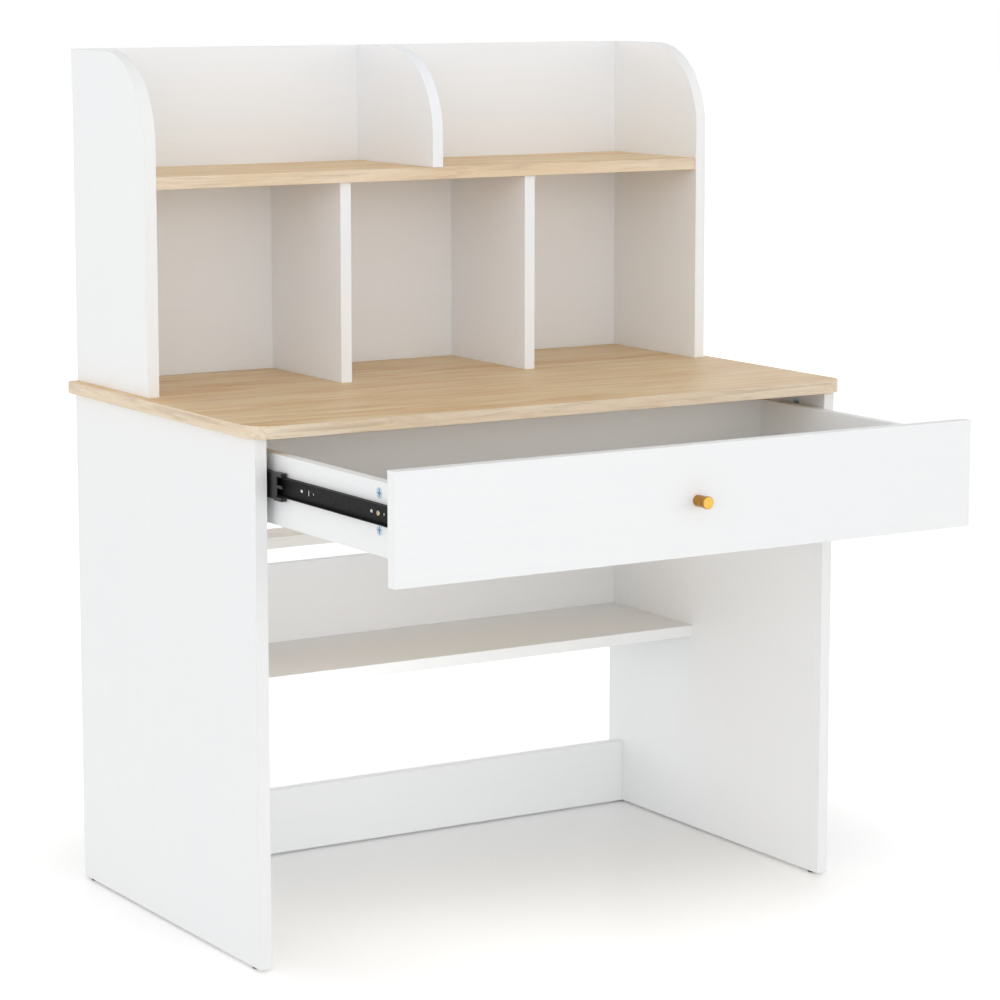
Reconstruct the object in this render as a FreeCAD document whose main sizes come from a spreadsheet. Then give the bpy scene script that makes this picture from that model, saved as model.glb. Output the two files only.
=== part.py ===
import FreeCAD, Part

# Student desk with a hutch: a top on two panel sides, a full-width drawer on
# ball-bearing slides, a foot shelf, and a bookcase hutch that stands on the top.
# X runs to the right seen from the front, Y to the back and Z up. The origin is
# on the floor under the middle of the whole desk with its drawer open.

import math
import os

import Sketcher
from FreeCAD import Placement, Rotation, Vector

# Every size of the desk, in millimetres: its name, its value and what it measures.
SIZES = [
    # boards
    ("top_width", 1000, "desktop, left to right"),
    ("top_depth", 600, "desktop, front to back"),
    ("desk_height", 764, "floor to the desktop's upper face"),
    ("board", 18, "thickness of the main boards"),
    ("thin_board", 15, "thickness of the drawer box and of the back boards"),
    ("band", 1, "thickness of the oak edge bands"),
    ("soften", 0.6, "radius along the boards' edges"),
    ("side_overhang", 12, "desktop beyond each side panel"),
    ("front_overhang", 20, "desktop beyond the side panels' front edges"),
    ("top_corner", 40, "radius of the desktop's front corners"),
    ("glide_height", 3, "pad of a nail-on glide"),
    ("glide_radius", 8, "pad of a nail-on glide"),
    ("glide_inset", 24, "glide's centre from the panel's front or back edge"),
    ("nail_radius", 1.2, "nail of a glide"),
    ("nail_length", 12, "nail of a glide, into the panel"),
    # lower boards
    ("foot_shelf_height", 333, "floor to the foot shelf's upper face"),
    ("foot_shelf_depth", 242, "foot shelf, front to back"),
    ("modesty_height", 124, "board that stands on the back of the foot shelf"),
    ("rail_height", 493, "floor to the flat rear rail's underside"),
    ("rail_depth", 75, "flat rear rail, front to back"),
    ("stretcher_height", 101, "board between the sides near the floor"),
    ("stretcher_inset", 24, "stretcher in front of the sides' back edges"),
    # hutch
    ("hutch_inset", 15, "desktop's side edges to the hutch sides"),
    ("hutch_depth", 244, "hutch sides, front to back"),
    ("hutch_height", 492, "desktop to the hutch's top edge"),
    ("hutch_corner", 130, "radius of the sides' upper front corners"),
    ("cubby_height", 297, "desktop to the hutch shelf's underside"),
    ("left_cubby", 303.5, "clear width of the left lower compartment"),
    ("middle_cubby", 302.5, "clear width of the middle lower compartment"),
    ("left_bay", 456, "clear width of the upper left compartment"),
    ("shelf_setback", 3, "hutch shelf behind the sides' front edges"),
    ("divider_setback", 10, "lower dividers behind the sides' front edges"),
    # drawer
    ("drawer_open", 345, "how far the drawer stands open, its full travel"),
    ("face_height", 152, "drawer front"),
    ("face_gap", 1.5, "gap between the drawer front and each side panel"),
    ("face_top_gap", 2, "gap between the drawer front and the desktop"),
    ("box_height", 98, "drawer sides and back"),
    ("box_length", 463, "drawer sides, front to back"),
    ("box_rise", 33.5, "drawer sides' lower edge above the front's lower edge"),
    ("bottom_sheet", 3, "hardboard drawer bottom"),
    ("groove_depth", 6, "groove for the drawer bottom"),
    ("groove_rise", 10, "groove above the drawer sides' lower edge"),
    ("groove_gap", 0.2, "play of the bottom in its groove, each face"),
    ("knob_length", 25, "knob, from the drawer front's face"),
    ("knob_radius", 8, "knob's barrel"),
    ("knob_cap_radius", 8.75, "knob's cap"),
    ("knob_cap", 5, "thickness of the knob's cap"),
    ("knob_neck_radius", 7, "neck behind the cap"),
    # slides
    ("slide_gap", 13, "space for a slide between the panel and the drawer side"),
    ("slide_length", 450, "both members of a slide"),
    ("slide_rise", 56.5, "slide's centre above the drawer sides' lower edge"),
    ("slide_setback", 2, "slide behind the drawer front's back face"),
    ("outer_height", 42, "cabinet member"),
    ("outer_clear", 2.2, "cabinet member's flange to the drawer side"),
    ("inner_clear", 5, "drawer member's flange to the panel"),
    ("sheet_steel", 1.2, "steel of both members"),
    ("bend_radius", 1, "outside of the bends of both members"),
    ("first_group", 26, "member's front end to its first group of holes"),
    ("middle_group", 216, "member's front end to its second group of holes"),
    ("last_group", 47, "member's back end to its third group of holes"),
    ("upright_step", 13, "a group's round hole to its upright slot"),
    ("long_step", 33, "a group's round hole to its long slot"),
    ("slot_radius", 2.2, "holes and ends of the slots in both members"),
    ("slot_length", 8.4, "long slot"),
    ("slot_height", 9.6, "upright slot"),
    ("cage_gap", 0.6, "cage to the members' steel"),
    ("cage_finger", 4, "middle finger of the cage's nose"),
    ("cage_notch", 15, "depth of the notches beside the finger"),
    ("cage_length", 150, "ball cage"),
    ("cage_reach", 37, "cage's nose in front of the panels, drawer open"),
    ("cage_wall", 0.9, "web of the cage"),
    ("rail_gap", 1.65, "cage's ball rails to the members' flanges"),
    ("cage_nose", 22, "length of the thick nose of the cage"),
    ("race_room", 6.3, "from one member's flange to the other's"),
    ("race_gap", 0.35, "ball to each flange"),
    ("ball_gap", 0.2, "ball to its hole in the cage"),
    ("ball_pitch", 12, "from ball to ball"),
    ("ball_start", 66, "first ball behind the nose's front end"),
    # where the boards are joined
    ("shelf_joint_front", 45, "foot shelf's front edge to its first cam"),
    ("shelf_joint_back", 60, "foot shelf's back edge to its second cam"),
    ("dowel_step", 30, "cam to the dowel beside it"),
    ("rail_joint", 25, "rear rail's front edge to its cam"),
    ("modesty_joint", 40, "modesty panel's lower edge to its cam"),
    ("modesty_step", 45, "modesty panel's cam to its dowel"),
    ("stretcher_joint", 35, "stretcher's lower edge to its cam"),
    ("top_joint", 70, "side panel's front and back edges to its cams"),
    ("top_dowel", 150, "side panel's front and back edges to its dowels"),
    ("hutch_joint", 50, "hutch boards' front and back edges to their fasteners"),
    ("panel_joint", 60, "hutch back panel's cams from the boards it meets"),
    ("divider_joint", 90, "screws into the dividers from the boards they meet"),
    ("upper_cam", 26, "drawer side's upper cam above the slide's centre"),
    ("lower_cam", 22, "drawer side's lower cam below the slide's centre"),
    ("back_screw_low", 25, "drawer side's lower edge to the lower back screw"),
    ("back_screw_high", 15, "drawer side's upper edge to the upper back screw"),
    # fasteners
    ("cam_radius", 7.4, "cam lock"),
    ("cam_depth", 12, "cam lock"),
    ("cam_bore_depth", 12.5, "bore for a cam lock"),
    ("cam_bore_gap", 0.1, "play round a cam lock"),
    ("bolt_reach", 34, "joint face to the cam's centre, long cam bolt"),
    ("short_reach", 24, "joint face to the cam's centre, short cam bolt"),
    ("drawer_reach", 41, "joint face to the cam's centre, drawer front bolt"),
    ("bolt_radius", 3, "cam bolt's shank"),
    ("bolt_head_radius", 3.2, "cam bolt's head"),
    ("bolt_head", 2.5, "length of the cam bolt's head"),
    ("bolt_neck_radius", 1.8, "cam bolt's neck"),
    ("bolt_neck", 4, "length of the cam bolt's neck"),
    ("bolt_thread", 10, "cam bolt's thread, in the other board"),
    ("thread_radius", 2.5, "cam bolt's thread"),
    ("bolt_bore_radius", 4, "bore round a cam bolt's shank"),
    ("dowel_radius", 4, "wooden dowel"),
    ("dowel_length", 30, "wooden dowel"),
    ("dowel_sunk", 12, "part of a dowel in the board's face"),
    ("hole_gap", 0.1, "play round a screw, nail or dowel"),
    ("screw_radius", 2, "wood screw's shank"),
    ("screw_length", 40, "wood screw under its head"),
    ("screw_head_radius", 4.2, "wood screw's head"),
    ("screw_head", 3, "height of the wood screw's head, sunk flush"),
    ("pan_radius", 3.9, "pan head of a slide screw"),
    ("pan_height", 1.8, "pan head of a slide screw"),
    ("pan_shank_radius", 1.6, "slide screw's shank"),
    ("pan_shank", 12, "slide screw's shank under its head"),
    ("knob_screw_radius", 2, "knob's machine screw"),
    ("knob_screw_grip", 12, "length of the machine screw in the knob"),
    ("knob_screw_head", 2.2, "height of the head of the knob's screw"),
    ("knob_screw_head_radius", 4, "head of the knob's screw"),
]

SHEET = "sizes"
PLANES = {"x": "YZ_Plane", "y": "XZ_Plane", "z": "XY_Plane"}
ACROSS = {"x": ("y", "z"), "y": ("x", "z"), "z": ("x", "y")}
UNIT = {"x": Vector(1, 0, 0), "y": Vector(0, 1, 0), "z": Vector(0, 0, 1)}
NEAR = 0.01
# A cut that opens at an edge runs this far past it.
PAST = 1
# Balls in each row of a slide's cage.
BALLS = 7


class Size:
    """A length that keeps its formula, so that what uses it follows the sheet."""

    def __init__(self, formula, value):
        self.formula = formula
        self.value = value

    def joined(self, sign, other, value):
        right = other.formula if isinstance(other, Size) else str(other)
        return Size(f"({self.formula} {sign} {right})", value)

    def __add__(self, other):
        return self.joined("+", other, self.value + plain(other))

    def __sub__(self, other):
        return self.joined("-", other, self.value - plain(other))

    def __mul__(self, other):
        return self.joined("*", other, self.value * plain(other))

    def __truediv__(self, other):
        return self.joined("/", other, self.value / plain(other))

    def __neg__(self):
        return Size(f"(0 - {self.formula})", -self.value)


def smaller(first, second):
    """The smaller of two sizes, whichever it is after a change."""
    formula = f"min({first.formula}; {second.formula})"
    return Size(formula, min(first.value, second.value))


def plain(size):
    """The number that a size has in the sheet as it stands."""
    return size.value if isinstance(size, Size) else size


class Sheet:
    """The spreadsheet; each row's alias is an attribute that holds its Size."""

    def __init__(self, doc):
        sheet = doc.addObject("Spreadsheet::Sheet", SHEET)
        for row, (alias, value, what) in enumerate(SIZES, 1):
            sheet.set(f"A{row}", alias)
            sheet.set(f"B{row}", str(value))
            sheet.set(f"C{row}", what)
            sheet.setAlias(f"B{row}", alias)
            setattr(self, alias, Size(f"{SHEET}.{alias}", float(value)))
        doc.recompute()


doc = FreeCAD.newDocument("student_desk")
s = Sheet(doc)
ZERO = Size("0", 0.0)
subparts = []


def bind(thing, name, size):
    """Ties a property to a size, or sets it to a plain number."""
    if isinstance(size, Size):
        thing.setExpression(name, size.formula)
    else:
        setattr(thing, name, size)


def place(thing, corner, turn=None):
    """Puts a thing at a corner that follows the sheet."""
    thing.Placement = Placement(Vector(*map(plain, corner)), turn or Rotation())
    for axis, size in zip("xyz", corner):
        thing.setExpression(f"Placement.Base.{axis}", size.formula)


class Solid:
    """One solid in a body of its own, with local axes from its lowest corner."""

    def __init__(self, label, low, high):
        self.label = label
        self.low = dict(zip("xyz", low))
        self.high = dict(zip("xyz", high))
        self.body = doc.addObject("PartDesign::Body", label)
        self.body.Label = label
        place(self.body, low)
        self.holes = {}
        self.count = 0
        subparts.append(self.body)

    def size(self, axis):
        return self.high[axis] - self.low[axis]

    def local(self, axis, where):
        return where - self.low[axis]

    def sketch(self, axis, where):
        """A sketch on the plane across an axis, at a global coordinate."""
        self.count += 1
        name = f"{self.label}_sketch_{self.count}"
        sketch = self.body.newObject("Sketcher::SketchObject", name)
        features = self.body.Origin.OriginFeatures
        plane = next(f for f in features if f.Role == PLANES[axis])
        sketch.AttachmentSupport = [(plane, "")]
        sketch.MapMode = "FlatFace"
        offset = self.local(axis, where)
        if axis == "y":
            offset = -offset
        bind(sketch, "AttachmentOffset.Base.z", offset)
        return sketch

    def outline(self, axis, points):
        """A closed outline at the low side of an axis, from global points."""
        sketch = self.sketch(axis, self.low[axis])
        u, v = ACROSS[axis]
        local = [(self.local(u, a), self.local(v, b)) for a, b in points]
        polygon(sketch, local)
        return sketch

    def pad(self, axis, points):
        """The solid itself: an outline pulled along an axis."""
        pad = self.body.newObject("PartDesign::Pad", f"{self.label}_pad")
        pad.Profile = self.outline(axis, points)
        bind(pad, "Length", self.size(axis))
        pad.Reversed = axis == "y"
        doc.recompute()
        return self

    def block(self, axis):
        """A plain board, cut as a rectangle across an axis."""
        u, v = ACROSS[axis]
        low, high = self.low, self.high
        return self.pad(axis, rectangle(low[u], low[v], high[u], high[v]))

    def add(self, axis, where, length, points):
        """A second outline, pulled along an axis and joined to the solid."""
        u, v = ACROSS[axis]
        sketch = self.sketch(axis, where)
        polygon(sketch, [(self.local(u, a), self.local(v, b)) for a, b in points])
        name = f"{self.label}_pad_{self.count}"
        pad = self.body.newObject("PartDesign::Pad", name)
        pad.Profile = sketch
        bind(pad, "Length", length)
        pad.Reversed = axis == "y"
        doc.recompute()

    def fillet(self, name, edges, radius):
        """Rounds edges of the solid as it stands."""
        tip = self.body.Tip
        names = [f"Edge{i}" for i, e in enumerate(tip.Shape.Edges, 1) if edges(e)]
        if not names:
            raise RuntimeError(f"{self.label} has no edge for {name}")
        fillet = self.body.newObject("PartDesign::Fillet", f"{self.label}_{name}")
        fillet.Base = (tip, names)
        bind(fillet, "Radius", radius)
        doc.recompute()
        return self

    def round_corner(self, axis, u, v, radius):
        """Rounds the edge along an axis at a global corner (u, v)."""
        a, b = ACROSS[axis]
        at = {a: plain(self.local(a, u)), b: plain(self.local(b, v))}

        def edge_there(edge):
            box = edge.BoundBox
            low = {"x": box.XMin, "y": box.YMin, "z": box.ZMin}
            high = {"x": box.XMax, "y": box.YMax, "z": box.ZMax}
            return all(
                abs(low[k] - at[k]) < NEAR and abs(high[k] - at[k]) < NEAR
                for k in at
            )

        return self.fillet(f"corner_{self.count}", edge_there, radius)

    def soften(self):
        """Takes the sharpness off every edge, as sanding an edge band does."""
        return self.fillet("softened", lambda edge: True, s.soften)

    def cut(self, axis, where, depth, draw):
        """Cuts what draw puts in a sketch, to a depth on both sides of it."""
        sketch = self.sketch(axis, where)
        draw(sketch)
        before = self.body.Tip.Shape.Volume
        pocket = self.body.newObject(
            "PartDesign::Pocket", f"{self.label}_cut_{self.count}"
        )
        pocket.Profile = sketch
        pocket.SideType = "Symmetric"
        bind(pocket, "Length", depth * 2)
        doc.recompute()
        if pocket.Shape.Volume > before - NEAR:
            raise RuntimeError(f"{pocket.Name} cuts nothing")
        return self

    def slot(self, axis, where, depth, low, high):
        """A rectangular cut between two global corners (u, v)."""
        u, v = ACROSS[axis]
        points = rectangle(
            self.local(u, low[0]),
            self.local(v, low[1]),
            self.local(u, high[0]),
            self.local(v, high[1]),
        )
        return self.cut(axis, where, depth, lambda sketch: polygon(sketch, points))

    def hole(self, axis, side, point, radius, depth):
        """Notes a round hole from one face; drill() makes them all."""
        key = (axis, side, radius.formula, depth.formula)
        holes = self.holes.setdefault(key, (radius, depth, []))
        holes[2].append(point)

    def drill(self):
        """Drills the noted holes, one sketch for each face, bore and depth."""
        for (axis, side, *_), (radius, depth, points) in self.holes.items():
            face = self.high[axis] if side > 0 else self.low[axis]
            u, v = ACROSS[axis]
            at = [(self.local(u, p[u]), self.local(v, p[v])) for p in points]
            self.cut(axis, face, depth, lambda sketch: circles(sketch, at, radius))


def rectangle(left, low, right, high):
    return [(left, low), (right, low), (right, high), (left, high)]


def polygon(sketch, points):
    """Draws a closed outline and ties every corner to its size."""
    corners = [Vector(plain(u), plain(v), 0) for u, v in points]
    count = len(corners)
    for i in range(count):
        line = Part.LineSegment(corners[i], corners[(i + 1) % count])
        sketch.addGeometry(line, False)
    for i in range(count):
        link = Sketcher.Constraint("Coincident", i, 2, (i + 1) % count, 1)
        sketch.addConstraint(link)
    for i, (u, v) in enumerate(points):
        tie(sketch, "DistanceX", i, 1, u)
        tie(sketch, "DistanceY", i, 1, v)


def circles(sketch, points, radius):
    """Draws equal circles and ties their centres and their radius."""
    for i, (u, v) in enumerate(points):
        centre = Vector(plain(u), plain(v), 0)
        circle = Part.Circle(centre, Vector(0, 0, 1), plain(radius))
        sketch.addGeometry(circle, False)
        tie(sketch, "DistanceX", i, 3, u)
        tie(sketch, "DistanceY", i, 3, v)
        tie(sketch, "Radius", i, None, radius)


def tie(sketch, kind, line, point, size):
    """One dimension of a sketch, bound to a size."""
    if point is None:
        dimension = Sketcher.Constraint(kind, line, plain(size))
    else:
        dimension = Sketcher.Constraint(kind, -1, 1, line, point, plain(size))
    index = sketch.addConstraint(dimension)
    if isinstance(size, Size):
        sketch.setExpression(f"Constraints[{index}]", size.formula)


# Planes that the pieces share, worked out from the sheet.

panel_depth = s.top_depth - s.front_overhang
front = (s.drawer_open + s.knob_length - panel_depth) / 2
back = front + panel_depth
outer_x = s.top_width / 2 - s.side_overhang
inner_x = outer_x - s.board
under_top = s.desk_height - s.board
hutch_x = s.top_width / 2 - s.hutch_inset
hutch_in = hutch_x - s.board
hutch_front = back - s.hutch_depth
hutch_top = s.desk_height + s.hutch_height
hutch_back = back - s.thin_board
shelf_low = s.desk_height + s.cubby_height
shelf_high = shelf_low + s.board
face_front = front - s.drawer_open
face_back = face_front + s.board
face_high = under_top - s.face_top_gap
face_low = face_high - s.face_height
box_low = face_low + s.box_rise
box_high = box_low + s.box_height
box_out = inner_x - s.slide_gap
box_in = box_out - s.thin_board
box_end = face_back + s.box_length
box_back = box_end - s.thin_board
slide_z = box_low + s.slide_rise
outer_flange = s.slide_gap - s.outer_clear
inner_flange = s.slide_gap - s.inner_clear
inner_height = s.outer_height - (s.sheet_steel + s.race_room) * 2
ball_radius = s.race_room / 2 - s.race_gap


# Fasteners. Each kind is drawn once, pointing along +X, and then placed as links.


def turned(label, profile):
    """A turned piece about X, from (x, radius) steps along its length."""
    body = doc.addObject("PartDesign::Body", label)
    sketch = body.newObject("Sketcher::SketchObject", f"{label}_profile")
    features = body.Origin.OriginFeatures
    plane = next(f for f in features if f.Role == "XY_Plane")
    sketch.AttachmentSupport = [(plane, "")]
    sketch.MapMode = "FlatFace"
    start, end = profile[0][0], profile[-1][0]
    polygon(sketch, [(start, ZERO), *profile, (end, ZERO)])
    turn = body.newObject("PartDesign::Revolution", f"{label}_turned")
    turn.Profile = sketch
    turn.ReferenceAxis = (sketch, ["H_Axis"])
    turn.Angle = 360
    doc.recompute()
    return body


def cam_bolt(label, reach):
    """Thread in one board, shank in the other, head inside the cam."""
    end = -reach
    neck = end + s.bolt_head
    shank = neck + s.bolt_neck
    return turned(
        label,
        [
            (end, s.bolt_head_radius),
            (neck, s.bolt_head_radius),
            (neck, s.bolt_neck_radius),
            (shank, s.bolt_neck_radius),
            (shank, s.bolt_radius),
            (ZERO, s.bolt_radius),
            (ZERO, s.thread_radius),
            (s.bolt_thread, s.thread_radius),
        ],
    )


def cam_lock(label, thickness):
    """A drum, face at +Z, with a cross in its face and a pocket for the bolt.

    The pocket lies at half the thickness of the board that the cam is made for.
    """
    cross_width, cross_length, cross_depth = 1.6, 9, 2
    pocket_gap = 0.6
    drum = doc.addObject("Part::Cylinder", f"{label}_drum")
    bind(drum, "Radius", s.cam_radius)
    bind(drum, "Height", s.cam_depth)
    drum.setExpression("Placement.Base.z", (-s.cam_depth).formula)
    tools = []
    for i, (long_x, long_y) in enumerate(
        [(cross_length, cross_width), (cross_width, cross_length)]
    ):
        bar = doc.addObject("Part::Box", f"{label}_cross_{i + 1}")
        bar.Length, bar.Width, bar.Height = long_x, long_y, cross_depth
        bar.Placement.Base = Vector(-long_x / 2, -long_y / 2, -cross_depth)
        tools.append(bar)
    pocket = doc.addObject("Part::Cylinder", f"{label}_pocket")
    bind(pocket, "Radius", s.bolt_head_radius + pocket_gap)
    bind(pocket, "Height", s.cam_radius * 2)
    turn = Rotation(Vector(0, 1, 0), 90)
    place(pocket, (-s.bolt_head, ZERO, -(thickness / 2)), turn)
    tools.append(pocket)
    joined = doc.addObject("Part::MultiFuse", f"{label}_cutters")
    joined.Shapes = tools
    cam = doc.addObject("Part::Cut", label)
    cam.Base, cam.Tool = drum, joined
    doc.recompute()
    return cam


def dowel():
    """Fluted hardwood pin, with small leads at both ends."""
    lead = 1.0
    start = -(s.dowel_length - s.dowel_sunk)
    return turned(
        "dowel",
        [
            (start, s.dowel_radius - lead),
            (start + lead, s.dowel_radius),
            (s.dowel_sunk - lead, s.dowel_radius),
            (s.dowel_sunk, s.dowel_radius - lead),
        ],
    )


def wood_screw():
    """Countersunk screw, head flush with the board at x = 0."""
    point, point_radius = 4, 0.4
    return turned(
        "wood_screw",
        [
            (ZERO, s.screw_head_radius),
            (s.screw_head / 3, s.screw_head_radius),
            (s.screw_head, s.screw_radius),
            (s.screw_length - point, s.screw_radius),
            (s.screw_length, ZERO + point_radius),
        ],
    )


def pan_screw():
    """Pan-headed slide screw, seat of its head at x = 0."""
    rim = s.pan_radius - s.pan_height / 2
    return turned(
        "pan_screw",
        [
            (-s.pan_height, rim),
            (-(s.pan_height / 2), s.pan_radius),
            (ZERO, s.pan_radius),
            (ZERO, s.pan_shank_radius),
            (s.pan_shank, s.pan_shank_radius),
        ],
    )


def ball():
    """Steel ball."""
    sphere = doc.addObject("Part::Sphere", "ball")
    bind(sphere, "Radius", ball_radius)
    return sphere


class Group:
    """Like fasteners that share one sub-part, each a link to the same drawing."""

    def __init__(self, label):
        self.label = label
        self.links = []

    def add(self, drawn, point, along, up=None):
        """Places one copy, its X along one direction and its Z along another."""
        link = doc.addObject("App::Link", f"{self.label}_{len(self.links) + 1}")
        link.LinkedObject = drawn
        up = up or (UNIT["z"] if abs(along.z) < 0.5 else UNIT["y"])
        turn = Rotation(along, up.cross(along), up, "XZY")
        place(link, [point[axis] for axis in "xyz"], turn)
        self.links.append(link)

    def gather(self):
        """Makes the group's sub-part."""
        group = doc.addObject("Part::Compound", self.label)
        group.Label = self.label
        group.Links = self.links
        doc.recompute()
        subparts.append(group)


def direction(axis, side):
    return UNIT[axis] * side


def at(x, y, z):
    return {"x": x, "y": y, "z": z}


def shifted(point, axis, by):
    """The same point, moved along one axis."""
    return {**point, axis: point[axis] + by}


class Joinery:
    """The cam bolts, cam locks and dowels of one unit, and the holes for them."""

    def __init__(self, prefix):
        self.cams = Group(f"{prefix}_cam_locks")
        self.bolts = Group(f"{prefix}_cam_bolts")
        self.dowels = Group(f"{prefix}_dowels")

    def cam(self, end_board, face_board, axis, side, point, cam_axis, cam_side, bolt):
        """Joins a board's end to another board's face with a bolt and a cam.

        The point is where the bolt crosses the joint, and side is the way from
        the end board to the face board. The cam sits in the end board's face.
        """
        drawn, reach, cam_drawn = bolt
        thread_bore = s.thread_radius + s.hole_gap
        face_board.hole(axis, -side, point, thread_bore, s.bolt_thread + s.hole_gap)
        end_board.hole(axis, side, point, s.bolt_bore_radius, reach)
        centre = shifted(point, axis, -reach * side)
        cam_bore = s.cam_radius + s.cam_bore_gap
        end_board.hole(cam_axis, cam_side, centre, cam_bore, s.cam_bore_depth)
        faces = end_board.high if cam_side > 0 else end_board.low
        seat = {**centre, cam_axis: faces[cam_axis]}
        self.bolts.add(drawn, point, direction(axis, side))
        up = direction(cam_axis, cam_side)
        self.cams.add(cam_drawn, seat, direction(axis, side), up)

    def dowel(self, end_board, face_board, axis, side, point):
        """Pins a board's end to another board's face."""
        bore = s.dowel_radius + s.hole_gap
        sunk = s.dowel_sunk + s.hole_gap
        face_board.hole(axis, -side, point, bore, sunk)
        rest = s.dowel_length - s.dowel_sunk + s.hole_gap
        end_board.hole(axis, side, point, bore, rest)
        self.dowels.add(dowel_drawn, point, direction(axis, side))

    def gather(self):
        for group in (self.cams, self.bolts, self.dowels):
            if group.links:
                group.gather()


def screw_through(group, first, second, axis, side, point):
    """A countersunk screw through one board's thickness into the next."""
    shank = s.screw_radius + s.hole_gap
    head = s.screw_head_radius + s.hole_gap
    thickness = first.size(axis)
    first.hole(axis, -side, point, shank, thickness)
    first.hole(axis, -side, point, head, s.screw_head)
    rest = s.screw_length - thickness + s.hole_gap
    second.hole(axis, -side, point, shank, rest)
    group.add(screw_drawn, point, direction(axis, side))


board_cam = cam_lock("board_cam", s.board)
thin_cam = cam_lock("thin_board_cam", s.thin_board)
dowel_drawn = dowel()
screw_drawn = wood_screw()
pan_drawn = pan_screw()
ball_drawn = ball()
long_drawn = cam_bolt("long_cam_bolt", s.bolt_reach)
short_drawn = cam_bolt("short_cam_bolt", s.short_reach)
face_drawn = cam_bolt("face_cam_bolt", s.drawer_reach)
LONG = (long_drawn, s.bolt_reach, board_cam)
LONG_THIN = (long_drawn, s.bolt_reach, thin_cam)
SHORT = (short_drawn, s.short_reach, board_cam)
FACE_THIN = (face_drawn, s.drawer_reach, thin_cam)


# Boards of the desk.


def desktop():
    """Oak-faced board with square back corners and rounded front ones."""
    half = s.top_width / 2 - s.band
    low = (-half, front - s.front_overhang + s.band, under_top)
    top = Solid("desktop", low, (half, back, s.desk_height)).block("z")
    radius = s.top_corner - s.band
    for x in (top.low["x"], top.high["x"]):
        top.round_corner("z", x, top.low["y"], radius)
    return top


def desktop_edge_band():
    """Oak strip round the sides and front of the desktop."""
    half = s.top_width / 2
    low = (-half, front - s.front_overhang, under_top)
    band = Solid("desktop_edge_band", low, (half, back, s.desk_height)).block("z")
    low_x, high_x, low_y = band.low["x"], band.high["x"], band.low["y"]
    for x in (low_x, high_x):
        band.round_corner("z", x, low_y, s.top_corner)
    band.soften()
    left, right = low_x + s.band, high_x - s.band
    near = low_y + s.band
    inside = (
        band.local("x", left),
        band.local("y", near),
        band.local("x", right),
        band.local("y", back + PAST),
        s.top_corner - s.band,
    )
    band.cut("z", under_top, s.board * 2, lambda sketch: cornered(sketch, *inside))


def cornered(sketch, left, near, right, far, radius):
    """An outline with its two near corners rounded."""
    x0, y0, x1, y1, r = map(plain, (left, near, right, far, radius))
    across = r * math.sqrt(0.5)
    points = [
        Vector(x0 + r, y0, 0),
        Vector(x1 - r, y0, 0),
        Vector(x1, y0 + r, 0),
        Vector(x1, y1, 0),
        Vector(x0, y1, 0),
        Vector(x0, y0 + r, 0),
    ]
    right_mid = Vector(x1 - r + across, y0 + r - across, 0)
    left_mid = Vector(x0 + r - across, y0 + r - across, 0)
    edges = [
        Part.LineSegment(points[0], points[1]),
        Part.Arc(points[1], right_mid, points[2]),
        Part.LineSegment(points[2], points[3]),
        Part.LineSegment(points[3], points[4]),
        Part.LineSegment(points[4], points[5]),
        Part.Arc(points[5], left_mid, points[0]),
    ]
    for edge in edges:
        sketch.addGeometry(edge, False)
    joints = [(0, 2, 1, 1), (1, 2, 2, 1), (2, 2, 3, 1)]
    joints += [(3, 2, 4, 1), (4, 2, 5, 1), (5, 2, 0, 1)]
    for joint in joints:
        sketch.addConstraint(Sketcher.Constraint("Coincident", *joint))
    ends = [
        (0, left + radius, near),
        (1, right - radius, near),
        (2, right, near + radius),
        (3, right, far),
        (4, left, far),
        (5, left, near + radius),
    ]
    for line, u, v in ends:
        tie(sketch, "DistanceX", line, 1, u)
        tie(sketch, "DistanceY", line, 1, v)
    for arc in (1, 5):
        tie(sketch, "Radius", arc, None, radius)


def panel(label, axis, low, high):
    """A straight board with softened edges."""
    return Solid(label, low, high).block(axis).soften()


def side_panel(side):
    """Base side, from the glides to the desktop."""
    label = "left_side_panel" if side < 0 else "right_side_panel"
    xs = (-outer_x, -inner_x) if side < 0 else (inner_x, outer_x)
    low = (xs[0], front, s.glide_height)
    return panel(label, "x", low, (xs[1], back, under_top))


def between_sides(label, axis, low_y, high_y, low_z, high_z):
    """A board that fills the width between the base's side panels."""
    return panel(label, axis, (-inner_x, low_y, low_z), (inner_x, high_y, high_z))


def hutch_side(side):
    """Hutch side with a large rounded upper front corner."""
    label = "hutch_left_side" if side < 0 else "hutch_right_side"
    xs = (-hutch_x, -hutch_in) if side < 0 else (hutch_in, hutch_x)
    low = (xs[0], hutch_front, s.desk_height)
    board = Solid(label, low, (xs[1], back, hutch_top)).block("x")
    board.round_corner("x", hutch_front, hutch_top, s.hutch_corner)
    return board.soften()


def hutch_divider(label, low_x, low_z, high_z, setback):
    """An upright board inside the hutch."""
    low = (low_x, hutch_front + setback, low_z)
    return Solid(label, low, (low_x + s.board, hutch_back, high_z)).block("x")


desk_joints = Joinery("desk")
hutch_joints = Joinery("hutch")
drawer_joints = Joinery("drawer")

top = desktop()
desktop_edge_band()
sides = {-1: side_panel(-1), 1: side_panel(1)}
foot_shelf = between_sides(
    "foot_shelf",
    "z",
    back - s.foot_shelf_depth,
    back,
    s.foot_shelf_height - s.board,
    s.foot_shelf_height,
)
modesty = between_sides(
    "modesty_panel",
    "y",
    hutch_back,
    back,
    s.foot_shelf_height,
    s.foot_shelf_height + s.modesty_height,
)
rail = between_sides(
    "rear_rail",
    "z",
    back - s.rail_depth,
    back,
    s.rail_height,
    s.rail_height + s.board,
)
stretcher = between_sides(
    "bottom_stretcher",
    "y",
    back - s.stretcher_inset - s.board,
    back - s.stretcher_inset,
    s.glide_height,
    s.glide_height + s.stretcher_height,
)

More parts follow.
